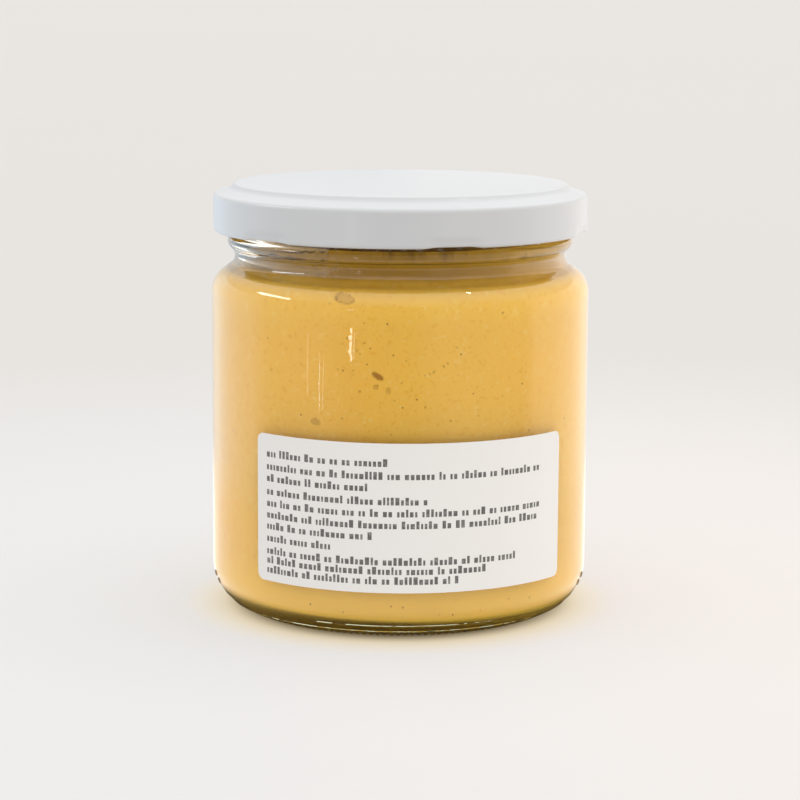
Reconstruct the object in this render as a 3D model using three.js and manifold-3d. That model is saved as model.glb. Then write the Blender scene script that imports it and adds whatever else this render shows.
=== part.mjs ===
// A shut jar of hummus: clear glass jar, white twist-off lid, the hummus inside, and a paper label.
// Millimetres, +Z up. The origin is the centre of the ring that the jar stands on.
// The label faces -Y, and the seams of the glass mould are at -X and +X.

import * as THREE from "three";
import { mergeVertices } from "three/addons/utils/BufferGeometryUtils.js";
import Module from "manifold-3d";

// Driving dimensions of the jar
const BODY_RADIUS = 39.5;
const WALL = 2.6;
const STANDING_RADIUS = 30.2;
const STANDING_WIDTH = 2.2;
const PUNT_HEIGHT = 1.8;
const HEEL_HEIGHT = 9.3;
const SHOULDER_START = 66.6;
const SHOULDER_RADIUS = 5.5;
const SHOULDER_SWEEP = THREE.MathUtils.degToRad(62);
const GROOVE_RADIUS = 2.2;
const GROOVE_HEIGHT = 74.1;
const NECK_RADIUS = 34.6;
const BEAD_RADIUS = 1.5;
const BEAD_HEIGHT = 77.2;
const BEAD_REACH = 36.1;
const FINISH_RADIUS = 35.0;
const RIM_HEIGHT = 86.7;
const RIM_ROUND = 0.6;
const MOUTH_RADIUS = 32.3;
const FLOOR_HEIGHT = 4.8;
const FLOOR_CORNER = 1.0;

// Small moulded marks on the heel, two on each side, just in front of the mould's seam
const MARKS = [{ beforeSeam: 12.0, height: 7.3 }, { beforeSeam: 15.0, height: 6.1 }];
const MARK_SIZE = { out: 0.35, along: 0.8, high: 0.75 };

// Driving dimensions of the lid
const LID_RADIUS = 39.0;
const LID_STEEL = 0.5;
const LID_BOTTOM = 79.2;
const CURL_RADIUS = 0.65;
const SKIRT_TOP = 86.2;
const SKIRT_ROUND = 1.0;
const RING_INNER_RADIUS = 35.6;
const RING_INNER_HEIGHT = 88.0;
const RING_OUTER_HEIGHT = 87.3;
const PANEL_RADIUS = 34.3;
const PANEL_STEP_RADIUS = 34.9;
const PANEL_HEIGHT = 89.2;
const SEAL_INNER_RADIUS = 31.6;
const SEAL_OUTER_RADIUS = 37.0;

// Driving dimensions of the filling and the label
const CLEARANCE = 0.3;
const FILL_HEIGHT = 82.4;
const LABEL_LEFT = THREE.MathUtils.degToRad(-46.0);
const LABEL_RIGHT = THREE.MathUtils.degToRad(55.0);
const LABEL_BOTTOM = 10.8;
const LABEL_TOP = 41.0;
const LABEL_THICKNESS = 0.2;
const LABEL_CORNER = 1.6;
const LABEL_TILT = -0.0033;

// Fineness
const AROUND = 48;
const ARC_STEPS = 2;
const LABEL_COLUMNS = 30;
const CORNER_STEPS = 4;

const wasm = await Module();
wasm.setup();

// Turns an outline of radius and height about Z. It runs with the solid on its left-hand side.
function turned(outline) {
  const points = outline.getPoints(ARC_STEPS);
  const geometry = new THREE.LatheGeometry(points, AROUND);
  geometry.rotateX(Math.PI / 2);
  return merged(geometry);
}

// Keeps only the shared corner positions, which makes a turned shape one closed surface.
function merged(geometry) {
  geometry.deleteAttribute("normal");
  geometry.deleteAttribute("uv");
  return mergeVertices(geometry, 1e-4);
}

function toManifold(geometry) {
  const index = geometry.index.array;
  const corners = [];
  for (let i = 0; i < index.length; i += 3) {
    const [a, b, c] = [index[i], index[i + 1], index[i + 2]];
    if (a !== b && b !== c && c !== a) {
      corners.push(a, b, c);
    }
  }
  const mesh = new wasm.Mesh({
    numProp: 3,
    vertProperties: new Float32Array(geometry.attributes.position.array),
    triVerts: new Uint32Array(corners),
  });
  return new wasm.Manifold(mesh);
}

function toGeometry(manifold) {
  const mesh = manifold.getMesh();
  const geometry = new THREE.BufferGeometry();
  geometry.setAttribute("position", new THREE.BufferAttribute(mesh.vertProperties, 3));
  geometry.setIndex(new THREE.BufferAttribute(mesh.triVerts, 1));
  geometry.computeVertexNormals();
  return geometry;
}

// The filling and the inside of the glass share this outline; inset draws it smaller all round.
function traceInside(outline, inset) {
  const wallRadius = BODY_RADIUS - WALL - inset;
  const floor = FLOOR_HEIGHT + inset;
  const corner = FLOOR_CORNER - inset;
  const mouth = MOUTH_RADIUS - inset;
  const bend = (wallRadius - mouth) / 2;
  const shoulderRise = GROOVE_HEIGHT - SHOULDER_START;
  outline.lineTo(wallRadius - corner, floor);
  outline.absarc(wallRadius - corner, floor + corner, corner, -Math.PI / 2, 0);
  outline.lineTo(wallRadius, SHOULDER_START);
  outline.quadraticCurveTo(
    wallRadius, SHOULDER_START + shoulderRise / 2, wallRadius - bend, SHOULDER_START + shoulderRise / 2);
  outline.quadraticCurveTo(mouth, SHOULDER_START + shoulderRise / 2, mouth, GROOVE_HEIGHT);
}

function glassOutline() {
  const outline = new THREE.Path();
  const groove = { r: NECK_RADIUS + GROOVE_RADIUS, z: GROOVE_HEIGHT };
  const bead = { r: BEAD_REACH - BEAD_RADIUS, z: BEAD_HEIGHT };
  const beadTilt = THREE.MathUtils.degToRad(50);
  outline.moveTo(0, PUNT_HEIGHT);
  outline.lineTo(STANDING_RADIUS - 2 * STANDING_WIDTH, PUNT_HEIGHT / 2);
  outline.lineTo(STANDING_RADIUS - STANDING_WIDTH, 0);
  outline.lineTo(STANDING_RADIUS, 0);
  outline.absellipse(
    STANDING_RADIUS, HEEL_HEIGHT, BODY_RADIUS - STANDING_RADIUS, HEEL_HEIGHT, -Math.PI / 2, 0);
  outline.lineTo(BODY_RADIUS, SHOULDER_START);
  outline.absarc(BODY_RADIUS - SHOULDER_RADIUS, SHOULDER_START, SHOULDER_RADIUS, 0, SHOULDER_SWEEP);
  outline.absarc(
    groove.r, groove.z, GROOVE_RADIUS, Math.PI + SHOULDER_SWEEP, Math.PI - SHOULDER_SWEEP / 2, true);
  outline.absarc(bead.r, bead.z, BEAD_RADIUS, -beadTilt, beadTilt);
  outline.lineTo(FINISH_RADIUS, BEAD_HEIGHT + BEAD_RADIUS);
  outline.lineTo(FINISH_RADIUS, RIM_HEIGHT - RIM_ROUND);
  outline.lineTo(FINISH_RADIUS - RIM_ROUND, RIM_HEIGHT);
  outline.lineTo(MOUTH_RADIUS + RIM_ROUND, RIM_HEIGHT);
  outline.lineTo(MOUTH_RADIUS, RIM_HEIGHT - RIM_ROUND);
  return outline;
}

// The inside is traced from the floor up, so its points are added in reverse to close the glass.
function glassJar() {
  const inside = new THREE.Path();
  inside.moveTo(0, FLOOR_HEIGHT);
  traceInside(inside, 0);
  const points = [...glassOutline().getPoints(ARC_STEPS), ...inside.getPoints(ARC_STEPS).reverse()];
  const shell = new THREE.LatheGeometry(points, AROUND);
  shell.rotateX(Math.PI / 2);
  let solid = toManifold(merged(shell));
  for (const side of [-1, 1]) {
    for (const { beforeSeam, height } of MARKS) {
      solid = solid.add(toManifold(heelMark(side, beforeSeam, height)));
    }
  }
  return toGeometry(solid);
}

// A low round mark standing just proud of the heel, sunk into the glass.
function heelMark(side, beforeSeam, height) {
  const down = (HEEL_HEIGHT - height) / HEEL_HEIGHT;
  const radius = STANDING_RADIUS + (BODY_RADIUS - STANDING_RADIUS) * Math.sqrt(1 - down * down);
  const mark = new THREE.SphereGeometry(1, 10, 6);
  mark.scale(MARK_SIZE.out, MARK_SIZE.along, MARK_SIZE.high);
  mark.translate(side * radius, 0, height);
  mark.rotateZ(-side * THREE.MathUtils.degToRad(beforeSeam));
  return merged(mark);
}

function lidOutline() {
  const outline = new THREE.Path();
  const curl = { r: LID_RADIUS - CURL_RADIUS, z: LID_BOTTOM + CURL_RADIUS };
  const insideRadius = LID_RADIUS - LID_STEEL;
  const seal = RIM_HEIGHT + CLEARANCE;
  outline.moveTo(0, PANEL_HEIGHT - LID_STEEL);
  outline.lineTo(SEAL_INNER_RADIUS - LID_STEEL, PANEL_HEIGHT - LID_STEEL);
  outline.lineTo(SEAL_INNER_RADIUS, seal);
  outline.lineTo(SEAL_OUTER_RADIUS, seal);
  outline.lineTo(insideRadius, SKIRT_TOP - LID_STEEL);
  outline.lineTo(insideRadius, curl.z + CURL_RADIUS);
  outline.absarc(curl.r, curl.z, CURL_RADIUS, Math.PI / 2, Math.PI * 2);
  outline.lineTo(LID_RADIUS, SKIRT_TOP);
  outline.quadraticCurveTo(LID_RADIUS, RING_OUTER_HEIGHT, LID_RADIUS - SKIRT_ROUND, RING_OUTER_HEIGHT);
  outline.lineTo(RING_INNER_RADIUS, RING_INNER_HEIGHT);
  outline.lineTo(PANEL_STEP_RADIUS, RING_INNER_HEIGHT + LID_STEEL / 2);
  outline.lineTo(PANEL_STEP_RADIUS, PANEL_HEIGHT - LID_STEEL / 2);
  outline.lineTo(PANEL_RADIUS, PANEL_HEIGHT);
  outline.lineTo(0, PANEL_HEIGHT);
  return outline;
}

function fillingOutline() {
  const outline = new THREE.Path();
  outline.moveTo(0, FLOOR_HEIGHT + CLEARANCE);
  traceInside(outline, CLEARANCE);
  outline.lineTo(MOUTH_RADIUS - CLEARANCE, FILL_HEIGHT);
  outline.lineTo(0, FILL_HEIGHT);
  return outline;
}

// Lengths along the label, from its left edge, where the sheet is divided.
function labelStations(length) {
  const stations = [];
  for (let i = 0; i <= CORNER_STEPS; i += 1) {
    stations.push(LABEL_CORNER * (1 - Math.cos((i / CORNER_STEPS) * (Math.PI / 2))));
  }
  const straight = length - 2 * LABEL_CORNER;
  for (let i = 1; i < LABEL_COLUMNS; i += 1) {
    stations.push(LABEL_CORNER + (straight * i) / LABEL_COLUMNS);
  }
  for (let i = CORNER_STEPS; i >= 0; i -= 1) {
    stations.push(length - stations[i]);
  }
  return stations;
}

// How far the round corner cuts in from the top and the bottom edge at a station.
function cornerCut(station, length) {
  const fromEnd = Math.min(station, length - station);
  if (fromEnd >= LABEL_CORNER) {
    return 0;
  }
  const reach = LABEL_CORNER - fromEnd;
  return LABEL_CORNER - Math.sqrt(LABEL_CORNER * LABEL_CORNER - reach * reach);
}

// A thin sheet bent round the jar: every station has an inner and an outer corner, below and above.
function labelSheet() {
  const inner = BODY_RADIUS + CLEARANCE;
  const outer = inner + LABEL_THICKNESS;
  const length = (LABEL_RIGHT - LABEL_LEFT) * BODY_RADIUS;
  const stations = labelStations(length);
  const positions = [];
  for (const station of stations) {
    const azimuth = LABEL_LEFT + station / BODY_RADIUS;
    const cut = cornerCut(station, length);
    const lean = LABEL_TILT * (station - length / 2);
    for (const radius of [inner, outer]) {
      for (const height of [LABEL_BOTTOM + cut, LABEL_TOP - cut]) {
        positions.push(radius * Math.sin(azimuth), -radius * Math.cos(azimuth), height + lean);
      }
    }
  }
  const faces = [];
  const quad = (a, b, c, d) => faces.push(a, b, c, a, c, d);
  for (let i = 0; i + 1 < stations.length; i += 1) {
    const [innerLow, innerHigh, outerLow, outerHigh] = [0, 1, 2, 3].map((k) => 4 * i + k);
    quad(outerLow, outerLow + 4, outerHigh + 4, outerHigh);
    quad(innerLow + 4, innerLow, innerHigh, innerHigh + 4);
    quad(innerLow, innerLow + 4, outerLow + 4, outerLow);
    quad(outerHigh, outerHigh + 4, innerHigh + 4, innerHigh);
  }
  const last = 4 * (stations.length - 1);
  quad(0, 2, 3, 1);
  quad(last + 2, last, last + 1, last + 3);
  const geometry = new THREE.BufferGeometry();
  geometry.setAttribute("position", new THREE.Float32BufferAttribute(positions, 3));
  geometry.setIndex(faces);
  geometry.computeVertexNormals();
  return geometry;
}

function piece(name, geometry, settings) {
  const mesh = new THREE.Mesh(geometry, new THREE.MeshStandardMaterial(settings));
  mesh.name = name;
  return mesh;
}

const jar = new THREE.Group();
jar.add(piece("glass_jar", glassJar(), {
  color: 0xe4ece4, roughness: 0.05, metalness: 0, transparent: true, opacity: 0.35,
}));
jar.add(piece("lid", turned(lidOutline()), { color: 0xe9eaec, roughness: 0.3, metalness: 0 }));
jar.add(piece("hummus", turned(fillingOutline()), { color: 0xdcb674, roughness: 0.6, metalness: 0 }));
jar.add(piece("label", labelSheet(), { color: 0xf0ede8, roughness: 0.7, metalness: 0 }));

export default jar;
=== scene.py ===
import math
import random

import bpy
from mathutils import Matrix, Vector, noise


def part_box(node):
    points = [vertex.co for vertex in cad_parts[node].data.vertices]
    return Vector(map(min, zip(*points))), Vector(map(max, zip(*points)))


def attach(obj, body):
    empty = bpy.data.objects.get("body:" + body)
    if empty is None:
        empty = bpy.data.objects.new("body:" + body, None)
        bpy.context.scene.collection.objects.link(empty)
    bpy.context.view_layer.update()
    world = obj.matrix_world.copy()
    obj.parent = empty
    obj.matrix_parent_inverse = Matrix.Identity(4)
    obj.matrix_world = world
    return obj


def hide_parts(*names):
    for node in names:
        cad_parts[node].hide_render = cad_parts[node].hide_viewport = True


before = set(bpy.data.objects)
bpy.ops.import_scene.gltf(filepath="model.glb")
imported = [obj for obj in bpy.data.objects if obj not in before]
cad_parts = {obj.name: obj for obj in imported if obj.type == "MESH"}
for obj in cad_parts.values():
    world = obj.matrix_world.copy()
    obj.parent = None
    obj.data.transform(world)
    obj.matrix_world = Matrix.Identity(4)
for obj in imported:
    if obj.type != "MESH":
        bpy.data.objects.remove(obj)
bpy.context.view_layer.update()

MM = 0.001
SEED = 7

# The jar, in millimetres. Heights are above the ring that it stands on.
BODY_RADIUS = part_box("glass_jar")[1].y / MM
WALL = 2.6
STANDING_RADIUS = 30.2
STANDING_WIDTH = 2.2
PUNT_HEIGHT = 1.8
HEEL_HEIGHT = 9.3
SHOULDER_START = 66.6
SHOULDER_RADIUS = 5.5
SHOULDER_SWEEP = math.radians(62)
GROOVE_RADIUS = 2.2
GROOVE_HEIGHT = 74.1
NECK_RADIUS = 34.6
BEAD_RADIUS = 1.5
BEAD_HEIGHT = 77.2
BEAD_REACH = 36.1
FINISH_RADIUS = 35.0
RIM_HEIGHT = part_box("glass_jar")[1].z / MM
RIM_ROUND = 0.6
MOUTH_RADIUS = 32.3
FLOOR_HEIGHT = 4.8
FLOOR_CORNER = 1.0

# How much thicker than its mean the jar's floor is at the left, and thinner at the right
FLOOR_RISE = 0.8

# The moulded marks on the heel: degrees in front of each seam, and height
HEEL_MARKS = [(12.0, 7.3), (15.0, 6.1)]
HEEL_MARK_SIZE = 0.8
HEEL_MARK_RISE = 0.3

# Heights between which the heel's glass gets thick enough to look green
GREEN_HEIGHTS = (5.2, 4.2)

# The small ledges that the mould's bottom plate leaves on the heel: their heights, the height and
# slope of their faces, and how soon the heel's curve goes on below them
LEDGES = (2.0, 3.5)
LEDGE_FACE = 0.27
LEDGE_SLOPE = math.radians(26)
LEDGE_RETURN = 0.12
LEDGE_WAVE = 0.035

# The short ridges that the jar stands on, and how finely the foot's rows are divided
RIDGE_COUNT = 148
RIDGE_DEPTH = 0.3
RIDGE_TOP = 1.6
RIDGE_SAMPLES = 6
COARSE_SHARE = 4

# The lid
LID_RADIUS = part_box("lid")[1].x / MM
LID_STEEL = 0.5
LID_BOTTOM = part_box("lid")[0].z / MM
CURL_RADIUS = 0.65
SKIRT_TOP = 86.2
RING_OUTER_HEIGHT = 87.3
RING_INNER_HEIGHT = 88.0
RING_INNER_RADIUS = 35.6
PANEL_RADIUS = 34.5
PANEL_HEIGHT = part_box("lid")[1].z / MM
SEAL_GAP = 0.3
SEAL_INNER_RADIUS = 31.6
SEAL_OUTER_RADIUS = 37.0
LUG_COUNT = 6
LUG_FIRST = math.radians(16)
LUG_HALF_WIDTH = math.radians(9)
LUG_LIFT = 0.25
LUG_PINCH = 0.45

# The hummus, how far it reaches into the glass wall, and the spacing of its mesh
FILL_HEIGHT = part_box("hummus")[1].z / MM
FILL_REACH = 0.12
COARSE_STEP = 0.8
NECK_STEP = 0.34
FINE_STEP = 0.24
FINE_AZIMUTHS = (-30.0, 1.0)
FINE_HEIGHTS = [(42.6, 46.2), (50.4, 56.0), (67.2, 71.4)]

# Pits against the glass: azimuth and height of the middle, width, height, lean in degrees, depth,
# how much painted shade darkens the paste inside, and how much painted shade darkens its broken rim
HOLLOWS = [
    (-17.0, 68.8, 4.5, 2.0, -10, 0.09, 0.36, 1.0),
    (-6.5, 54.1, 2.7, 1.2, -34, 0.09, 0.9, 0.0),
    (-7.1, 51.9, 1.2, 1.1, 0, 0.08, 0.35, 1.0),
    (-3.4, 51.4, 1.2, 1.0, 0, 0.06, 0.3, 0.95),
    (-26.0, 44.4, 2.3, 1.5, -8, 0.05, 0.38, 0.7),
]

# Pinholes that show in the paste: azimuth and height
PINHOLES = [
    (-10.7, 64.6), (-3.7, 64.5), (-10.6, 60.6), (-8.8, 59.6), (-11.9, 58.4), (-18.8, 55.2),
    (-17.2, 55.0), (-14.0, 55.1), (-1.9, 58.3), (2.0, 57.2), (17.3, 59.7), (18.6, 58.3),
    (14.5, 56.6), (13.3, 56.0), (7.5, 54.3), (0.6, 52.8), (-31.1, 45.5), (-17.4, 45.4),
    (0.9, 47.9), (-1.5, 49.3), (-2.4, 42.5), (5.2, 49.5), (7.7, 47.9), (15.5, 45.1),
    (24.4, 45.8), (32.6, 49.4), (40.0, 51.4), (22.6, 50.3), (-9.8, 56.4), (-42.2, 53.9),
    (-33.9, 8.4), (-27.9, 7.2), (-17.0, 6.3), (-2.2, 7.8), (17.9, 8.8), (25.8, 6.3),
    (16.7, 5.9), (35.8, 7.8), (44.3, 7.3), (12.5, 6.1),
]
PINHOLE_RADIUS = 0.24
PINHOLE_STRENGTHS = (0.5, 1.0, 0.65, 0.85, 0.4)

# Heights between which the paste is paler at the foot as painted light, browner in the neck and dark under
# the lid as painted shade, and the height of the thin dark ring of painted shade below that
PAINTED_LIGHT_FOOT = (15.0, 10.0)
NECK_SHADE = (69.9, 73.2)
TOP_BAND = (76.9, 77.4)
DARK_RING = 76.58
DARK_RING_FADE = (0.16, 0.04)

# The air pocket between paste and glass at the left of the neck: its ends and its heights
POCKET_AZIMUTHS = (-80.0, -16.0)
POCKET_HEIGHTS = (72.2, 78.6)
POCKET_DEPTH = 0.9

# The label
LABEL_LEFT = math.radians(-46.0)
LABEL_RIGHT = math.radians(55.0)
LABEL_BOTTOM = 10.8
LABEL_TOP = 41.0
LABEL_CORNER = 1.6
LABEL_TILT = -0.0033
LABEL_LIFT = 0.02
LABEL_THICKNESS = 0.11
LABEL_LENGTH = (LABEL_RIGHT - LABEL_LEFT) * BODY_RADIUS

# Linear colours of the glass, the lid, the hummus, the paper and its print
CLEAR_GLASS = (0.99, 0.996, 0.988, 1.0)
GREEN_GLASS = (0.57, 0.64, 0.46, 1.0)
MARK_SHADE = (0.035, 0.028, 0.012, 1.0)
ENAMEL = (0.505, 0.516, 0.534, 1.0)
ENAMEL_LIGHT = (0.53, 0.54, 0.554, 1.0)
DUST = (0.32, 0.31, 0.3, 1.0)
PASTE = (0.962, 0.588, 0.076, 1.0)
PASTE_LIGHT = (0.972, 0.622, 0.098, 1.0)
PASTE_STREAK = (0.975, 0.68, 0.13, 1.0)
PASTE_BRAN = (0.86, 0.45, 0.03, 1.0)
PASTE_FLECK = (0.98, 0.74, 0.24, 1.0)
PASTE_GRAIN = (0.90, 0.50, 0.045, 1.0)
PASTE_FOOT_PAINTED_LIGHT = (0.998, 0.64, 0.10, 1.0)
PASTE_NECK_PAINTED_SHADE = (0.49, 0.275, 0.017, 1.0)
UNDER_LID_PAINTED_SHADE = (0.07, 0.03, 0.001, 1.0)
PIT_SHADE = (0.38, 0.17, 0.004, 1.0)
PINHOLE_SHADE = (0.33, 0.13, 0.006, 1.0)
PAPER = (0.717, 0.705, 0.686, 1.0)
PAPER_LIGHT = (0.75, 0.741, 0.727, 1.0)
INK = (0.1, 0.097, 0.092, 1.0)
INK_WORN = (0.24, 0.23, 0.22, 1.0)


def arc(radius_at, height_at, radius, start, end, steps, flat=1.0):
    """Points of an arc round (radius_at, height_at). Angles in radians; flat scales its height."""
    points = []
    for i in range(steps + 1):
        angle = start + (end - start) * i / steps
        points.append((radius_at + radius * math.cos(angle), height_at + flat * radius * math.sin(angle)))
    return points


def bend(start, corner, end, steps):
    """Points of a smooth bend from start to end that leans towards corner."""
    points = []
    for i in range(steps + 1):
        t = i / steps
        points.append(tuple(
            (1 - t) ** 2 * a + 2 * t * (1 - t) * b + t ** 2 * c for a, b, c in zip(start, corner, end)))
    return points


def spaced(outline, step_at):
    """The outline again, with points no further apart than step_at(height)."""
    points = [outline[0]]
    for a, b in zip(outline, outline[1:]):
        while math.dist(points[-1], b) > step_at(points[-1][1]) * 1.001:
            last = points[-1]
            share = step_at(last[1]) / math.dist(last, b)
            points.append(tuple(p + (q - p) * share for p, q in zip(last, b)))
        points.append(b)
    return points


def even_angles(count):
    return [2 * math.pi * i / count for i in range(count)]


def at(radius, azimuth, height):
    """A point in metres. Azimuth 0 faces -Y, and it grows towards +X."""
    return Vector((radius * math.sin(azimuth) * MM, -radius * math.cos(azimuth) * MM, height * MM))


def ring_faces(low, high):
    """Faces between two rows of a turned shape. One row may have a multiple of the other's points."""
    fewer = min(len(low), len(high))
    low_share, high_share = len(low) // fewer, len(high) // fewer
    faces = []
    for i in range(fewer):
        near = [low[(i * low_share + k) % len(low)] for k in range(low_share + 1)]
        far = [high[(i * high_share + k) % len(high)] for k in range(high_share + 1)]
        ring = near + far[::-1]
        face = [v for k, v in enumerate(ring) if v != ring[k - 1]]
        if len(face) > 2:
            faces.append(face)
    return faces


def turned(name, outline, angles_at, shift=None):
    """Turns an outline of (radius, height) round the jar's axis. angles_at gives the angles of each
    row, and shift moves a point by its place."""
    vertices = []
    rows = []
    for index, (radius, height) in enumerate(outline):
        angles = angles_at(index)
        if radius < 1e-6:
            rows.append([len(vertices)] * len(angles))
            vertices.append(at(0, 0, height))
            continue
        row = []
        for azimuth in angles:
            r, h = shift(radius, azimuth, height) if shift else (radius, height)
            row.append(len(vertices))
            vertices.append(at(r, azimuth, h))
        rows.append(row)
    faces = []
    for low, high in zip(rows, rows[1:]):
        faces += ring_faces(low, high)
    return mesh_object(name, vertices, faces)


def mesh_object(name, vertices, faces, smooth=True):
    mesh = bpy.data.meshes.new(name)
    mesh.from_pydata(vertices, [], faces)
    mesh.update()
    if smooth:
        mesh.shade_smooth()
    piece = bpy.data.objects.new(name, mesh)
    bpy.context.scene.collection.objects.link(piece)
    return piece


def dress(piece, finish, slot, *nodes):
    """Gives a piece its finish, and says which CAD nodes it replaces."""
    piece.data.materials.append(finish)
    if nodes:
        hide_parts(*nodes)
    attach(piece, "root")


def smoothstep(low, high, value):
    t = min(1.0, max(0.0, (value - low) / (high - low)))
    return t * t * (3 - 2 * t)


def turn_between(a, b):
    """The angle from b to a, between -pi and pi."""
    return (a - b + math.pi) % (2 * math.pi) - math.pi


# Materials

class Wire:
    """A value in a node tree. Arithmetic on it adds Math nodes."""

    def __init__(self, tree, socket):
        self.tree = tree
        self.socket = socket

    def math(self, operation, a, b):
        return self.tree.node("ShaderNodeMath", {"operation": operation}, {0: a, 1: b})

    def __add__(self, other):
        return self.math("ADD", self, other)

    def __radd__(self, other):
        return self.math("ADD", other, self)

    def __sub__(self, other):
        return self.math("SUBTRACT", self, other)

    def __rsub__(self, other):
        return self.math("SUBTRACT", other, self)

    def __mul__(self, other):
        return self.math("MULTIPLY", self, other)

    def __rmul__(self, other):
        return self.math("MULTIPLY", other, self)

    def __or__(self, other):
        return self.math("MAXIMUM", self, other)


class Tree:
    """The nodes of a material or of the world."""

    def __init__(self, owner, coordinates):
        owner.use_nodes = True
        self.nodes = owner.node_tree.nodes
        self.links = owner.node_tree.links
        self.place = self.node("ShaderNodeTexCoord", {}, {}, coordinates)

    def node(self, kind, settings, values, output=0):
        made = self.nodes.new(kind)
        for key, value in settings.items():
            if key == "stops":
                self.set_stops(made.color_ramp, value)
            else:
                setattr(made, key, value)
        self.feed(made, values)
        outputs = [s for s in made.outputs if s.enabled]
        found = outputs[output] if isinstance(output, int) else next(s for s in outputs if s.name == output)
        return Wire(self, found)

    def set_stops(self, ramp, stops):
        while len(ramp.elements) < len(stops):
            ramp.elements.new(0.5)
        for element, (position, colour) in zip(ramp.elements, stops):
            element.position = position
            element.color = colour

    def feed(self, made, values):
        for key, value in values.items():
            inputs = [s for s in made.inputs if s.enabled]
            socket = made.inputs[key] if isinstance(key, int) else next(s for s in inputs if s.name == key)
            if isinstance(value, Wire):
                self.links.new(value.socket, socket)
            else:
                socket.default_value = value

    def stretched(self, scale):
        """The place, scaled along each axis."""
        return self.node("ShaderNodeVectorMath", {"operation": "MULTIPLY"}, {0: self.place, 1: scale})

    def axis(self, name):
        return self.node("ShaderNodeSeparateXYZ", {}, {0: self.place}, name)

    def noise(self, scale, detail=2.0, place=None, roughness=0.5):
        return self.node("ShaderNodeTexNoise", {}, {
            "Vector": place or self.place, "Scale": scale, "Detail": detail, "Roughness": roughness})

    def window(self, value, low, high, to_low=0.0, to_high=1.0):
        """Maps low..high of a value smoothly to to_low..to_high."""
        return self.node("ShaderNodeMapRange", {"interpolation_type": "SMOOTHSTEP"}, {
            "Value": value, "From Min": low, "From Max": high, "To Min": to_low, "To Max": to_high})

    def mix(self, factor, a, b):
        return self.node("ShaderNodeMix", {"data_type": "RGBA"}, {"Factor": factor, "A": a, "B": b})

    def bump(self, height, distance, strength=1.0):
        values = {"Height": height, "Distance": distance, "Strength": strength}
        return self.node("ShaderNodeBump", {}, values)

    def level(self):
        """The height above the ring that the jar stands on, in millimetres."""
        return self.axis("Z") * (1 / MM)

    def distance(self, middle):
        """How far the place is from a point."""
        values = {0: self.place, 1: middle}
        return self.node("ShaderNodeVectorMath", {"operation": "DISTANCE"}, values, "Value")

    def from_axis(self):
        """How far the place is from the jar's axis."""
        values = {0: self.stretched((1, 1, 0))}
        return self.node("ShaderNodeVectorMath", {"operation": "LENGTH"}, values, "Value")


class Finish(Tree):
    """A material with one Principled shader."""

    def __init__(self, name):
        self.material = bpy.data.materials.new(name)
        super().__init__(self.material, "Object")

    def surface(self, values):
        self.feed(self.nodes["Principled BSDF"], values)
        return self.material


def heel_marks(finish):
    """Where the moulded marks are, which look dark: painted shade on the clear glass."""
    marks = 0.0
    for side in (-1, 1):
        for before_seam, height in HEEL_MARKS:
            middle = at(BODY_RADIUS - 0.3, side * (math.pi / 2 - math.radians(before_seam)), height)
            reach = HEEL_MARK_SIZE * MM
            marks = finish.window(finish.distance(middle), 1.3 * reach, 0.95 * reach) + marks
    return marks


def glass_finish():
    finish = Finish("jar_glass")
    waves = finish.noise(60.0, 2.0, finish.stretched((1.0, 1.0, 0.35)))
    ripples = finish.noise(420.0, 2.0, finish.stretched((0.9, 0.9, 1.0)))
    thick = finish.window(finish.level(), *GREEN_HEIGHTS)
    tint = finish.mix(thick, CLEAR_GLASS, GREEN_GLASS)
    return finish.surface({
        "Base Color": finish.mix(heel_marks(finish), tint, MARK_SHADE),
        "Roughness": 0.0,
        "IOR": 1.5,
        "Transmission Weight": 1.0,
        "Normal": finish.bump(waves + ripples * 0.16, 0.00012, 0.5),
    })


def lid_finish():
    finish = Finish("lid_enamel")
    dust = finish.noise(900.0, 3.0)
    peel = finish.noise(420.0, 2.0)
    clouds = finish.noise(22.0, 3.0)
    specks = finish.window(dust, 0.745, 0.775)
    base = finish.mix(clouds, ENAMEL, ENAMEL_LIGHT)
    return finish.surface({
        "Base Color": finish.mix(specks * 0.35, base, DUST),
        "Roughness": finish.window(clouds, 0.2, 0.8, 0.32, 0.42),
        "IOR": 1.5,
        "Coat Weight": 0.25,
        "Coat Roughness": 0.12,
        "Normal": finish.bump(peel, 0.00002, 0.05),
    })


def pinholes(finish):
    """Where the paste has a pinhole: the ones that show in front, and scattered ones all round."""
    cells = finish.node("ShaderNodeTexVoronoi", {}, {"Vector": finish.place, "Scale": 330.0}, "Distance")
    chance = finish.noise(95.0, 0.0)
    holes = finish.window(cells, 0.13, 0.05) * finish.window(chance, 0.56, 0.66) * 0.6
    for index, (azimuth, height) in enumerate(PINHOLES):
        middle = at(BODY_RADIUS - WALL + FILL_REACH, math.radians(azimuth), height)
        reach = PINHOLE_RADIUS * MM
        strength = PINHOLE_STRENGTHS[index % len(PINHOLE_STRENGTHS)]
        holes = holes | finish.window(finish.distance(middle), reach, reach * 0.45, 0.0, strength)
    return holes


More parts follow.
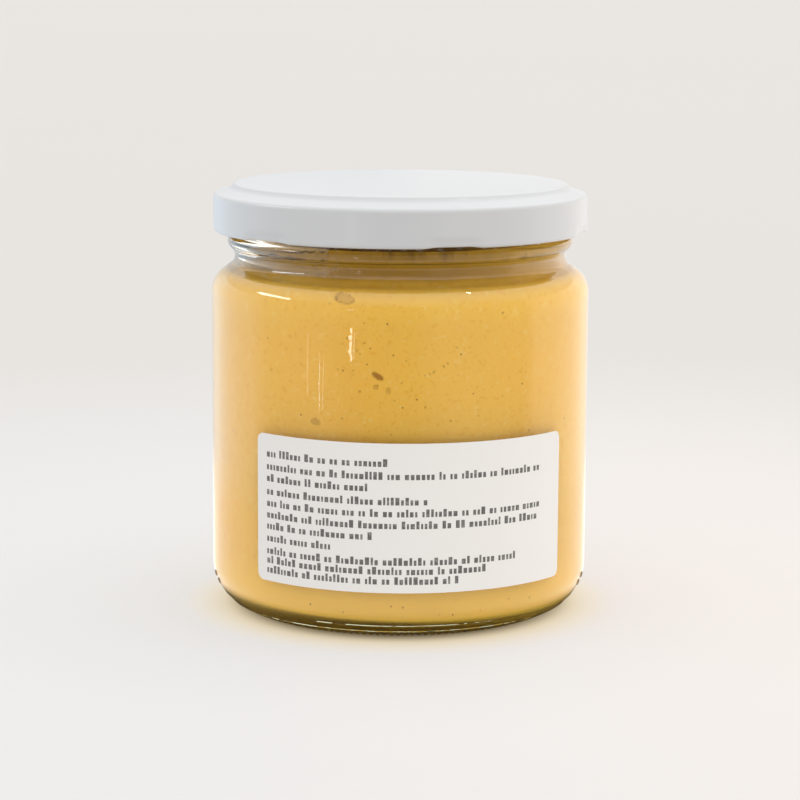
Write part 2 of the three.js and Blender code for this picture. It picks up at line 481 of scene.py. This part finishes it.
def hummus_finish():
    finish = Finish("hummus_paste")
    streaks = finish.noise(70.0, 3.0, finish.stretched((1.0, 1.0, 0.12)))
    clouds = finish.noise(26.0, 4.0)
    grain = finish.noise(1500.0, 2.0)
    bran = finish.noise(700.0, 2.0, roughness=0.6)
    holes = pinholes(finish)
    body = finish.mix(clouds, PASTE, PASTE_LIGHT)
    body = finish.mix(finish.window(streaks, 0.3, 0.75) * 0.45, body, PASTE_STREAK)
    body = finish.mix(finish.window(bran, 0.60, 0.72) * 0.4, body, PASTE_BRAN)
    body = finish.mix(finish.window(bran, 0.41, 0.28) * 0.45, body, PASTE_FLECK)
    body = finish.mix(finish.window(grain, 0.43, 0.28) * 0.55, body, PASTE_GRAIN)
    level = finish.level()
    height = level + (finish.noise(140.0, 3.0) - 0.5) * 2.4
    # Paler towards the foot: painted light, as from the bright table below
    body = finish.mix(finish.window(height, *PAINTED_LIGHT_FOOT), body, PASTE_FOOT_PAINTED_LIGHT)
    # Painted shade in the neck, under the lid and in a thin ring below it, weaker towards the right, where
    # more light falls
    shade = finish.window(finish.axis("X"), 0.008, 0.032, 1.0, 0.35)
    body = finish.mix(finish.window(height, *NECK_SHADE) * shade * 0.95, body, PASTE_NECK_PAINTED_SHADE)
    mottled = level + (finish.noise(420.0, 3.0) - 0.5) * 0.9
    body = finish.mix(finish.window(mottled, *TOP_BAND) * shade * 0.95, body, UNDER_LID_PAINTED_SHADE)
    from_ring = finish.node("ShaderNodeMath", {"operation": "ABSOLUTE"}, {0: level - DARK_RING})
    body = finish.mix(finish.window(from_ring, *DARK_RING_FADE) * shade * 0.75, body, UNDER_LID_PAINTED_SHADE)
    hollow = finish.node("ShaderNodeAttribute", {"attribute_name": "hollow"}, {}, "Fac")
    # Pits darkened with painted shade inside and at their broken rims
    body = finish.mix(hollow, body, PIT_SHADE)
    return finish.surface({
        "Base Color": finish.mix(holes * 0.9, body, PINHOLE_SHADE),
        "Roughness": 0.5,
        "IOR": 1.36,
        "Specular IOR Level": 0.25,
        "Normal": finish.bump(grain * 0.5 - holes, 0.0001, 0.5),
    })


def paper_finish():
    finish = Finish("label_paper")
    fibres = finish.noise(900.0, 4.0, finish.stretched((1.0, 1.0, 0.5)))
    clouds = finish.noise(30.0, 3.0)
    return finish.surface({
        "Base Color": finish.mix(clouds, PAPER, PAPER_LIGHT),
        "Roughness": 0.62,
        "Specular IOR Level": 0.35,
        "Normal": finish.bump(fibres * 0.4 + clouds, 0.00012, 0.35),
    })


def ink_finish():
    finish = Finish("label_ink")
    wear = finish.noise(1600.0, 2.0)
    return finish.surface({
        "Base Color": finish.mix(finish.window(wear, 0.45, 0.75), INK, INK_WORN),
        "Roughness": 0.6,
    })


def stage_finish():
    """A pale table that glows as painted light: none under the jar, a painted contact shadow, warm beside
    it, painted light bounced from the hummus, even further off. The hummus gets more of it, through the
    glass."""
    finish = Finish("studio_sweep")
    haze = finish.noise(0.7, 2.0)
    from_jar = finish.from_axis()
    glow = finish.mix(finish.window(finish.axis("X"), -0.1, 0.1), GLOW_LEFT, GLOW_RIGHT)
    glow = finish.mix(finish.window(from_jar, *GLOW_FADE), glow, GLOW_FAR)
    glow = finish.mix(finish.window(from_jar, *GLOW_WARMTH), GLOW_NEAR_PAINTED_BOUNCE, glow)
    through = finish.node("ShaderNodeLightPath", {}, {}, "Is Transmission Ray")
    glow = finish.mix(through, glow, GLOW_THROUGH)
    return finish.surface({
        "Base Color": finish.mix(haze, TABLE, TABLE_LIGHT),
        "Roughness": 0.9,
        "Specular IOR Level": 0.1,
        "Emission Color": finish.mix(finish.window(from_jar, *PAINTED_SHADOW_EDGE), NO_LIGHT, glow),
        "Emission Strength": 1.0,
    })


def reflector_finish():
    """What the jar's walls mirror: dim in front, bright beyond the dim part's two edges, softer behind,
    and below that a floor that is dark close to the jar, a painted shadow seen only in reflections."""
    finish = Finish("reflector_cloth")
    across = finish.axis("X")
    along = finish.axis("Y")
    to_right = finish.window(across, -0.01, 0.01)
    beside = finish.window(along, *DIM_LEFT_EDGE) * (1 - to_right)
    beside = beside + finish.window(along, *DIM_RIGHT_EDGE) * to_right
    dim = finish.mix(finish.window(across, *DIM_LEFT_FADE), SCREEN_LEFT, SCREEN_MIDDLE)
    dim = finish.mix(finish.window(across, *DIM_RIGHT_FADE), dim, SCREEN_RIGHT)
    bright = finish.mix(to_right, SIDE_LEFT, SIDE_RIGHT)
    rear = finish.mix(to_right, REAR_LEFT, REAR_RIGHT)
    light = finish.mix(beside, dim, bright)
    light = finish.mix(finish.window(along, *REAR_EDGE), light, rear)
    low = finish.mix(finish.window(finish.from_axis(), *LOW_EDGE), LOW_NEAR_PAINTED_SHADOW, LOW_FAR)
    return finish.surface({
        "Base Color": NO_LIGHT,
        "Roughness": 1.0,
        "Emission Color": finish.mix(finish.window(finish.axis("Z"), 0.0005, 0.02), low, light),
        "Emission Strength": 1.0,
    })


# The glass jar

def inside_outline(inset):
    """The inside of the glass from its floor up to the neck; a negative inset lies in the wall."""
    wall = BODY_RADIUS - WALL - inset
    floor = FLOOR_HEIGHT + inset
    corner = FLOOR_CORNER - inset
    mouth = MOUTH_RADIUS - inset
    half_rise = (GROOVE_HEIGHT - SHOULDER_START) / 2
    middle = ((wall + mouth) / 2, SHOULDER_START + half_rise)
    points = [(0.0, floor)]
    points += arc(wall - corner, floor + corner, corner, -math.pi / 2, 0, 12)
    points += bend((wall, SHOULDER_START), (wall, middle[1]), middle, 8)
    points += bend(middle, (mouth, middle[1]), (mouth, GROOVE_HEIGHT), 8)[1:]
    return points


def heel_outline():
    """The rounded heel, from the standing ring up, broken by its small ledges."""
    heel = BODY_RADIUS - STANDING_RADIUS
    points = []
    start = -math.pi / 2
    for ledge in LEDGES:
        foot = ledge - LEDGE_FACE / 2
        below = math.asin((foot - LEDGE_RETURN) / HEEL_HEIGHT - 1)
        above = math.asin((ledge + LEDGE_FACE / 2) / HEEL_HEIGHT - 1)
        points += arc(STANDING_RADIUS, HEEL_HEIGHT, heel, start, below, 10, HEEL_HEIGHT / heel)
        points.append((STANDING_RADIUS + heel * math.cos(above) - LEDGE_FACE * math.tan(LEDGE_SLOPE), foot))
        start = above
    return points + arc(STANDING_RADIUS, HEEL_HEIGHT, heel, start, 0, 16, HEEL_HEIGHT / heel)


def heel_step(height):
    near_ledge = any(abs(height - ledge) < LEDGE_FACE / 2 + LEDGE_RETURN for ledge in LEDGES)
    return 0.08 if near_ledge else 0.32


def foot_outline():
    """The underside and the heel, from the middle out and up to where the body is straight."""
    inner = STANDING_RADIUS - STANDING_WIDTH
    slope = (inner - 0.5 * STANDING_WIDTH, PUNT_HEIGHT / 4)
    ring = bend(slope, (inner - 0.2 * STANDING_WIDTH, 0), (inner, 0), 4)
    middle = [(0.0, PUNT_HEIGHT), (inner - STANDING_WIDTH, PUNT_HEIGHT / 2)]
    return middle + spaced(ring + heel_outline(), heel_step)


def upper_outline():
    """The glass from the body up over the rim, and down inside to the middle of its floor."""
    groove_at = NECK_RADIUS + GROOVE_RADIUS
    tilt = math.radians(50)
    points = arc(BODY_RADIUS - SHOULDER_RADIUS, SHOULDER_START, SHOULDER_RADIUS, 0, SHOULDER_SWEEP, 14)
    points += arc(groove_at, GROOVE_HEIGHT, GROOVE_RADIUS,
                  math.pi + SHOULDER_SWEEP, math.pi - SHOULDER_SWEEP / 2, 14)
    points += arc(BEAD_REACH - BEAD_RADIUS, BEAD_HEIGHT, BEAD_RADIUS, -tilt, tilt, 8)
    points += [(FINISH_RADIUS, BEAD_HEIGHT + BEAD_RADIUS), (FINISH_RADIUS, RIM_HEIGHT - RIM_ROUND)]
    points += arc(FINISH_RADIUS - RIM_ROUND, RIM_HEIGHT - RIM_ROUND, RIM_ROUND, 0, math.pi / 2, 5)
    points += arc(MOUTH_RADIUS + RIM_ROUND, RIM_HEIGHT - RIM_ROUND, RIM_ROUND, math.pi / 2, math.pi, 5)
    return points + inside_outline(0)[::-1]


def floor_rise(radius, azimuth, height):
    """How much higher the inside stands where the jar's floor is thicker."""
    share = smoothstep(FLOOR_HEIGHT + 4, FLOOR_HEIGHT, height) * radius / (BODY_RADIUS - WALL)
    return -FLOOR_RISE * math.sin(azimuth) * share


def foot_relief(radius, azimuth, height):
    """Tilts the floor inside, waves the ledges a little, raises the moulded marks on the heel, and cuts
    the grooves between the ridges that the jar stands on."""
    if height >= FLOOR_HEIGHT and radius <= BODY_RADIUS - WALL:
        return radius, height + floor_rise(radius, azimuth, height)
    if height > HEEL_HEIGHT or radius < STANDING_RADIUS - 2 * STANDING_WIDTH:
        return radius, height
    wave = noise.noise(Vector((azimuth * 9, height * 0.8, 5.0)))
    wave += noise.noise(Vector((azimuth * 34, height, 8.0)))
    at_ledges = smoothstep(LEDGES[0] - 1, LEDGES[0], height) * smoothstep(LEDGES[1] + 1, LEDGES[1], height)
    rise = LEDGE_WAVE * wave * at_ledges
    for before_seam, mark in HEEL_MARKS:
        from_mark = abs(turn_between(azimuth, 0)) - math.pi / 2 + math.radians(before_seam)
        distance = math.hypot(from_mark * BODY_RADIUS, height - mark) / HEEL_MARK_SIZE
        rise += HEEL_MARK_RISE * (1 - smoothstep(0.55, 1.0, distance))
    groove = RIDGE_DEPTH * (0.5 - 0.5 * math.cos(RIDGE_COUNT * azimuth))
    groove *= smoothstep(RIDGE_TOP, 0.9, height)
    groove *= smoothstep(STANDING_RADIUS - 3.4, STANDING_RADIUS - 2.4, radius)
    return radius + rise, height + groove


def make_glass(finish):
    foot = foot_outline()
    wall_ends = [(BODY_RADIUS, HEEL_HEIGHT + 0.4), (BODY_RADIUS, SHOULDER_START - 0.4)]
    wall = spaced(wall_ends, lambda height: 3.0)
    outline = foot + wall + upper_outline()
    fine = even_angles(RIDGE_COUNT * RIDGE_SAMPLES)
    lowest_mark = min(height for _, height in HEEL_MARKS) - HEEL_MARK_SIZE

    def angles_at(row):
        if row < 2 or row >= len(foot):
            return fine[::COARSE_SHARE]
        return fine[::2] if RIDGE_TOP < outline[row][1] < lowest_mark else fine

    dress(turned("jar_glass", outline, angles_at, foot_relief), finish, "glass", "glass_jar")


# The hummus

def hollow_at(azimuth, height):
    """How deep the paste stands back from the glass here, and how much painted shade darkens it."""
    depth = 0.0
    painted_shade = 0.0
    wobble = noise.noise(Vector((azimuth * 60, height * 1.6, 0.0))) * 0.16
    broken = smoothstep(-0.3, 0.3, noise.noise(Vector((azimuth * 150, height * 3.5, 6.0))))
    for middle, level, width, tall, lean, deep, inner_shade, rim_shade in HOLLOWS:
        across = turn_between(azimuth, math.radians(middle)) * (BODY_RADIUS - WALL)
        up = height - level
        turn = math.radians(lean)
        along = (across * math.cos(turn) + up * math.sin(turn)) / (width / 2)
        aside = (up * math.cos(turn) - across * math.sin(turn)) / (tall / 2)
        out = math.hypot(along, aside) + wobble
        inside = 1 - smoothstep(0.84, 1.04, out)
        at_rim = inside * smoothstep(0.55, 0.8, out)
        depth = max(depth, deep * inside)
        painted_shade = max(painted_shade, inner_shade * inside, rim_shade * at_rim * broken)
    return depth, painted_shade


def neck_depth(azimuth, height):
    """How far the paste stands back in the neck: a pocket of air at the left, and small blisters."""
    if height < POCKET_HEIGHTS[0] - 1.5:
        return 0.0
    turn = math.degrees(turn_between(azimuth, 0))
    rough = noise.noise(Vector((azimuth * 22, height * 0.55, 3.0)))
    fine = noise.noise(Vector((azimuth * 60, height * 1.5, 9.0)))
    edge = rough * 6 + fine * 2
    pocket = smoothstep(0, 8, turn - POCKET_AZIMUTHS[0] + edge)
    pocket *= smoothstep(0, 26, POCKET_AZIMUTHS[1] - turn + edge * 2)
    pocket *= smoothstep(POCKET_HEIGHTS[0], POCKET_HEIGHTS[0] + 0.9, height + fine * 0.8)
    blisters = smoothstep(0.18, 0.42, fine + rough * 0.5)
    blisters *= smoothstep(POCKET_HEIGHTS[1] - 2.2, POCKET_HEIGHTS[1], height)
    return max(pocket * POCKET_DEPTH * (1 + 0.3 * fine), blisters * 0.5)


def hummus_step(height):
    if any(low <= height <= high for low, high in FINE_HEIGHTS):
        return FINE_STEP
    return NECK_STEP if height > FINE_HEIGHTS[-1][1] else COARSE_STEP


def hummus_angles():
    angles = []
    turn = -180.0
    per_mm = math.degrees(1 / (BODY_RADIUS - WALL))
    while turn < 180.0 - 0.5 * COARSE_STEP * per_mm:
        angles.append(math.radians(turn))
        fine = FINE_AZIMUTHS[0] <= turn <= FINE_AZIMUTHS[1]
        turn += (FINE_STEP if fine else COARSE_STEP) * per_mm
    return angles


def make_hummus(finish):
    outline = spaced(inside_outline(-FILL_REACH), hummus_step)
    outline += spaced([(MOUTH_RADIUS + FILL_REACH, GROOVE_HEIGHT + NECK_STEP),
                       (MOUTH_RADIUS + FILL_REACH, FILL_HEIGHT - 0.8)], hummus_step)
    outline += [(MOUTH_RADIUS - 0.6, FILL_HEIGHT), (0.0, FILL_HEIGHT)]
    angles = hummus_angles()
    pit_painted_shades = []

    def relief(radius, azimuth, height):
        if radius < MOUTH_RADIUS - 0.5 or height < FLOOR_HEIGHT + FLOOR_CORNER:
            pit_painted_shades.append(0.0)
            return radius, height + floor_rise(radius, azimuth, height)
        depth, painted_shade = hollow_at(azimuth, height)
        pit_painted_shades.append(painted_shade)
        inward = max(depth, neck_depth(azimuth, height))
        return radius - inward, height + floor_rise(radius, azimuth, height)

    hummus = turned("hummus_fill", outline, lambda row: angles, relief)
    hollow = hummus.data.attributes.new("hollow", "FLOAT", "POINT")
    moved = iter(pit_painted_shades)
    on_axis = [v.co.xy.length < 1e-9 for v in hummus.data.vertices]
    hollow.data.foreach_set("value", [0.0 if middle else next(moved) for middle in on_axis])
    dress(hummus, finish, "hummus", "hummus")


# The lid

def lid_outline():
    inside = LID_RADIUS - LID_STEEL
    seal = RIM_HEIGHT + SEAL_GAP
    curl = (LID_RADIUS - CURL_RADIUS, LID_BOTTOM + CURL_RADIUS)
    points = [(0.0, PANEL_HEIGHT - LID_STEEL), (SEAL_INNER_RADIUS - LID_STEEL, PANEL_HEIGHT - LID_STEEL)]
    points += [(SEAL_INNER_RADIUS, seal), (SEAL_OUTER_RADIUS, seal)]
    points += spaced([(inside, SKIRT_TOP - LID_STEEL), (inside, curl[1] + CURL_RADIUS)], lambda height: 0.5)
    points += arc(curl[0], curl[1], CURL_RADIUS, math.pi / 2, 2 * math.pi, 18)[1:]
    points += spaced([(LID_RADIUS, curl[1] + 0.3), (LID_RADIUS, SKIRT_TOP)], lambda height: 0.5)
    points += bend((LID_RADIUS, SKIRT_TOP), (LID_RADIUS, RING_OUTER_HEIGHT),
                   (LID_RADIUS - 1.2, RING_OUTER_HEIGHT), 8)[1:]
    points += bend((RING_INNER_RADIUS + 0.7, RING_INNER_HEIGHT - 0.15),
                   (RING_INNER_RADIUS + 0.1, RING_INNER_HEIGHT),
                   (RING_INNER_RADIUS - 0.3, RING_INNER_HEIGHT + 0.3), 5)
    points += bend((PANEL_RADIUS + 0.4, PANEL_HEIGHT - 0.45), (PANEL_RADIUS + 0.2, PANEL_HEIGHT),
                   (PANEL_RADIUS - 0.5, PANEL_HEIGHT), 6)
    points += [(r, PANEL_HEIGHT) for r in (30.0, 20.0, 10.0)] + [(0.0, PANEL_HEIGHT)]
    return points


def lugs(radius, azimuth, height):
    """Pinches the curl in and lifts it a little where the lid's lugs are pressed."""
    if radius < LID_RADIUS - 3:
        return radius, height
    middles = [LUG_FIRST + 2 * math.pi * k / LUG_COUNT for k in range(LUG_COUNT)]
    nearest = min(abs(turn_between(azimuth, middle)) for middle in middles)
    press = 1 - smoothstep(LUG_HALF_WIDTH * 0.5, LUG_HALF_WIDTH * 1.1, nearest)
    press *= 1 - smoothstep(LID_BOTTOM + 0.6, LID_BOTTOM + 2.4, height)
    return radius - LUG_PINCH * press, height + LUG_LIFT * press


def make_lid(finish):
    angles = even_angles(360)
    lid = turned("lid_shell", lid_outline(), lambda row: angles, lugs)
    dress(lid, finish, "lid_enamel", "lid")


# The label and its print

def bent(name, outlines, radius, thickness):
    """Flat strips, given as stations and a function of their low and high edges, laid round the jar
    as thin closed sheets."""
    vertices = []
    faces = []
    for stations, edges in outlines:
        first = len(vertices)
        for station in stations:
            low, high = edges(station)
            azimuth = LABEL_LEFT + station / BODY_RADIUS
            lean = LABEL_TILT * (station - LABEL_LENGTH / 2)
            for r in (radius, radius + thickness):
                vertices.append(at(r, azimuth, low + lean))
                vertices.append(at(r, azimuth, high + lean))
        count = len(stations)
        for i in range(count - 1):
            a = first + 4 * i
            b = a + 4
            faces += [(a + 2, b + 2, b + 3, a + 3), (b, a, a + 1, b + 1)]
            faces += [(a, b, b + 2, a + 2), (a + 3, b + 3, b + 1, a + 1)]
        z = first + 4 * (count - 1)
        faces += [(first, first + 2, first + 3, first + 1), (z + 2, z, z + 1, z + 3)]
    return mesh_object(name, vertices, faces, smooth=False)


def label_stations():
    ends = [LABEL_CORNER * (1 - math.cos(math.pi / 2 * i / 8)) for i in range(9)]
    middle = [LABEL_CORNER + (LABEL_LENGTH - 2 * LABEL_CORNER) * i / 120 for i in range(1, 120)]
    return ends + middle + [LABEL_LENGTH - e for e in reversed(ends)]


def label_edges(station):
    from_end = min(station, LABEL_LENGTH - station)
    reach = max(0.0, LABEL_CORNER - from_end)
    cut = LABEL_CORNER - math.sqrt(LABEL_CORNER ** 2 - reach ** 2)
    return LABEL_BOTTOM + cut, LABEL_TOP - cut


# Lines of the greeked print: how far below the top edge, and how much of the width each fills
PRINT_LINES = [
    (3.9, 0.42), (6.5, 0.94), (8.9, 0.36), (11.6, 0.55), (14.0, 0.95), (16.4, 0.95),
    (18.7, 0.38), (21.2, 0.25), (23.8, 0.86), (25.7, 0.74), (27.7, 0.64),
]
PRINT_MARGIN = 2.7
PRINT_HEIGHT = 1.05
PRINT_TALL = 1.55
BLOCK_WIDTHS = (0.4, 0.85)
BLOCK_GAP = 0.32
WORD_GAP = 1.0
WORD_LENGTHS = [2, 2, 3, 5, 6, 8, 9]


def print_blocks():
    """Plain blocks in groups, which stand for the lines of print."""
    draw = random.Random(SEED)
    blocks = []
    for below, share in PRINT_LINES:
        x = PRINT_MARGIN
        end = PRINT_MARGIN + share * (LABEL_LENGTH - 2 * PRINT_MARGIN)
        base = LABEL_TOP - below - PRINT_TALL / 2
        while x < end:
            for _ in range(draw.choice(WORD_LENGTHS)):
                width = draw.uniform(*BLOCK_WIDTHS)
                if x + width > end:
                    x = end
                    break
                top = base + (PRINT_TALL if draw.random() < 0.25 else PRINT_HEIGHT)
                blocks.append(([x, x + width], lambda station, low=base, high=top: (low, high)))
                x += width + BLOCK_GAP
            x += WORD_GAP - BLOCK_GAP
    return blocks


def make_label(paper, ink):
    radius = BODY_RADIUS + LABEL_LIFT
    sheet = bent("label_sheet", [(label_stations(), label_edges)], radius, LABEL_THICKNESS)
    dress(sheet, paper, "label_paper", "label")
    marks = bent("label_print", print_blocks(), radius + LABEL_THICKNESS + 0.004, 0.012)
    dress(marks, ink, "label_paper")


# The studio

CAMERA_DISTANCE = 0.5334
CAMERA_HEIGHT = 0.1333
CAMERA_SIDE = 0.0001
CAMERA_PITCH = 0.1676
CAMERA_ROLL = 0.0047
CAMERA_LENS = 114.98

# Distances from the jar's axis between which the table's glow sets in past its painted contact shadow,
# loses the warmth of its painted bounce light, and fades
PAINTED_SHADOW_EDGE = (0.029, 0.0378)
GLOW_WARMTH = (0.034, 0.048)
GLOW_FADE = (0.06, 0.4)

# The low screen round the jar that only shows in reflections. Its floor lies 0.15 mm above the table
REFLECTOR_INNER = 0.032
REFLECTOR_RADIUS = 0.11
REFLECTOR_HEIGHT = 0.1
REFLECTOR_LIFT = 0.15

# Where the screen's light changes along Y
DIM_LEFT_EDGE = (-0.04, -0.008)
DIM_RIGHT_EDGE = (-0.047, -0.026)
REAR_EDGE = (0.06, 0.1)

# Where the dim front changes along X, and the distances at which the screen's floor gets light
DIM_LEFT_FADE = (-0.08, -0.02)
DIM_RIGHT_FADE = (0.01, 0.05)
LOW_EDGE = (0.037, 0.046)

# Linear colours of the table and its glow, and of the light that each part of the screen gives
NO_LIGHT = (0.0, 0.0, 0.0, 1.0)
TABLE = (0.305, 0.297, 0.29, 1.0)
TABLE_LIGHT = (0.315, 0.306, 0.298, 1.0)
GLOW_LEFT = (0.41, 0.43, 0.445, 1.0)
GLOW_RIGHT = (0.48, 0.455, 0.445, 1.0)
GLOW_FAR = (0.345, 0.335, 0.325, 1.0)
GLOW_NEAR_PAINTED_BOUNCE = (0.56, 0.47, 0.31, 1.0)
GLOW_THROUGH = (1.1, 1.0, 0.86, 1.0)
SCREEN_LEFT = (0.95, 0.98, 1.0, 1.0)
SCREEN_MIDDLE = (0.36, 0.36, 0.36, 1.0)
SCREEN_RIGHT = (0.85, 0.82, 0.78, 1.0)
SIDE_LEFT = (1.35, 1.6, 1.8, 1.0)
SIDE_RIGHT = (1.7, 1.63, 1.55, 1.0)
REAR_LEFT = (0.7, 0.75, 0.8, 1.0)
REAR_RIGHT = (0.98, 0.97, 0.97, 1.0)
LOW_NEAR_PAINTED_SHADOW = (0.02, 0.02, 0.02, 1.0)
LOW_FAR = (1.5, 1.45, 1.4, 1.0)

# The strips of light in front: their distance and main azimuth, and the colour of each kind
STRIP_DISTANCE = 0.105
STRIP_AZIMUTH = -23.8
COOL = (0.97, 0.99, 1.0)
CREAM = (1.0, 0.95, 0.86)

# The bits that the main strip is broken into, from the lowest up: degrees to the side, and width.
# Below them the height of the lowest bit, the step from bit to bit, and a bit's height
STRIP_BITS = [(0.3, 0.0022), (-0.2, 0.0034), (0.15, 0.0028), (-0.1, 0.0036), (0.35, 0.002)]
BIT_FOOT = 0.0477
BIT_STEP = 0.00155
BIT_TALL = 0.00135


def make_camera():
    camera = bpy.data.objects.new("camera", bpy.data.cameras.new("camera"))
    camera.data.lens = CAMERA_LENS
    camera.data.sensor_width = 36.0
    camera.data.clip_start = 0.01
    camera.data.clip_end = 100.0
    place = Matrix.Translation((CAMERA_SIDE, -CAMERA_DISTANCE, CAMERA_HEIGHT))
    tilt = Matrix.Rotation(math.pi / 2 - CAMERA_PITCH, 4, "X")
    camera.matrix_world = place @ tilt @ Matrix.Rotation(CAMERA_ROLL, 4, "Z")
    bpy.context.scene.collection.objects.link(camera)
    bpy.context.scene.camera = camera


def make_stage():
    radii = [0.05, 0.15, 0.4, 1.0, 3.0, 8.0, 20.0]
    outline = [(0.0, 0.0)] + [(r / MM, 0.0) for r in radii]
    angles = even_angles(64)
    sweep = turned("studio_floor", outline, lambda row: angles)
    sweep.location.z = -0.00002
    sweep.data.materials.append(stage_finish())


def make_reflector():
    """A low screen round the jar. It gives no light to the scene and only shows as a reflection."""
    outline = [(REFLECTOR_INNER / MM, REFLECTOR_LIFT), (REFLECTOR_RADIUS / MM, REFLECTOR_LIFT)]
    outline.append((REFLECTOR_RADIUS / MM, REFLECTOR_HEIGHT / MM))
    angles = even_angles(180)
    screen = turned("studio_reflector", outline, lambda row: angles)
    screen.data.materials.append(reflector_finish())
    screen.visible_camera = False
    screen.visible_diffuse = False
    screen.visible_transmission = False
    screen.visible_shadow = False


def glint_light(name, azimuth, height, distance, size, radiance, colour):
    """A card of light that only shows as a reflection. It stands round the jar, facing its axis."""
    light = bpy.data.objects.new(name, bpy.data.lights.new(name, "AREA"))
    light.data.shape = "RECTANGLE"
    light.data.size = size[0]
    light.data.size_y = size[1]
    light.data.energy = radiance * math.pi * size[0] * size[1]
    light.data.color = colour
    light.visible_camera = False
    light.visible_diffuse = False
    light.visible_transmission = False
    angle = math.radians(azimuth)
    light.location = (distance * math.sin(angle), -distance * math.cos(angle), height)
    facing = Vector((0, 0, 0.07)) - light.location
    light.rotation_euler = facing.to_track_quat("-Z", "Y").to_euler()
    bpy.context.scene.collection.objects.link(light)


def make_world():
    """Light from above and all round, less from the left. Reflections see a dim front, and what shines
    through the glass is stronger from the right."""
    world = bpy.data.worlds.new("studio_world")
    tree = Tree(world, "Generated")
    across = tree.window(tree.axis("X"), -1.0, 1.0)
    front = tree.window(tree.axis("Y"), 0.1, -0.8)
    mirrored = tree.node("ShaderNodeLightPath", {}, {}, "Is Glossy Ray")
    lighting = tree.mix(across, (0.58, 0.61, 0.64, 1.0), (1.52, 1.42, 1.31, 1.0))
    lighting = tree.mix(front * 0.7, lighting, (1.05, 1.03, 1.0, 1.0))
    shown = tree.mix(across, (0.76, 0.79, 0.82, 1.0), (0.93, 0.88, 0.82, 1.0))
    shown = tree.mix(front, shown, (0.2, 0.2, 0.205, 1.0))
    room = tree.mix(mirrored, lighting, shown)
    through = tree.node("ShaderNodeLightPath", {}, {}, "Is Transmission Ray")
    overhead = tree.mix(mirrored * (1 - through), (1.6, 1.57, 1.53, 1.0), (1.75, 1.85, 1.93, 1.0))
    light = tree.mix(tree.window(tree.axis("Z"), 0.0, 1.0), room, overhead)
    seen = tree.node("ShaderNodeLightPath", {}, {}, "Is Camera Ray")
    tree.feed(tree.nodes["Background"], {
        "Color": tree.mix(seen, light, (0.84, 0.815, 0.79, 1.0)),
        "Strength": through * (across * 0.64 - 0.16) + 1.0})
    bpy.context.scene.world = world


def make_lights():
    make_world()
    glint_light("left_window", -88, 0.54, 0.9, (0.5, 0.1), 12, (0.93, 0.97, 1.0))
    glint_light("right_lamp", 85, 1.5, 0.65, (0.09, 0.06), 40, (1.0, 0.9, 0.75))
    for index, (side, width) in enumerate(STRIP_BITS):
        name = f"front_strip_{index}"
        height = BIT_FOOT + BIT_STEP * index
        glint_light(name, STRIP_AZIMUTH + side, height, STRIP_DISTANCE, (width, BIT_TALL), 10, CREAM)
    glint_light("front_strip_beside", -21.9, 0.0505, STRIP_DISTANCE, (0.0005, 0.006), 6, CREAM)
    glint_light("front_strip_thin", -39.7, 0.0415, STRIP_DISTANCE, (0.0006, 0.013), 7, COOL)
    glint_light("front_strip_thinner", -37.8, 0.0415, STRIP_DISTANCE, (0.0004, 0.012), 5, COOL)
    glint_light("front_strip_pale", -46.0, 0.0455, STRIP_DISTANCE, (0.0012, 0.014), 2, COOL)
    glint_light("front_strip_high", STRIP_AZIMUTH, 0.076, STRIP_DISTANCE, (0.0052, 0.013), 2.5, COOL)


make_camera()
make_stage()
make_reflector()
make_lights()
make_glass(glass_finish())
make_hummus(hummus_finish())
make_lid(lid_finish())
make_label(paper_finish(), ink_finish())
bpy.context.scene.view_settings.view_transform = "Standard"
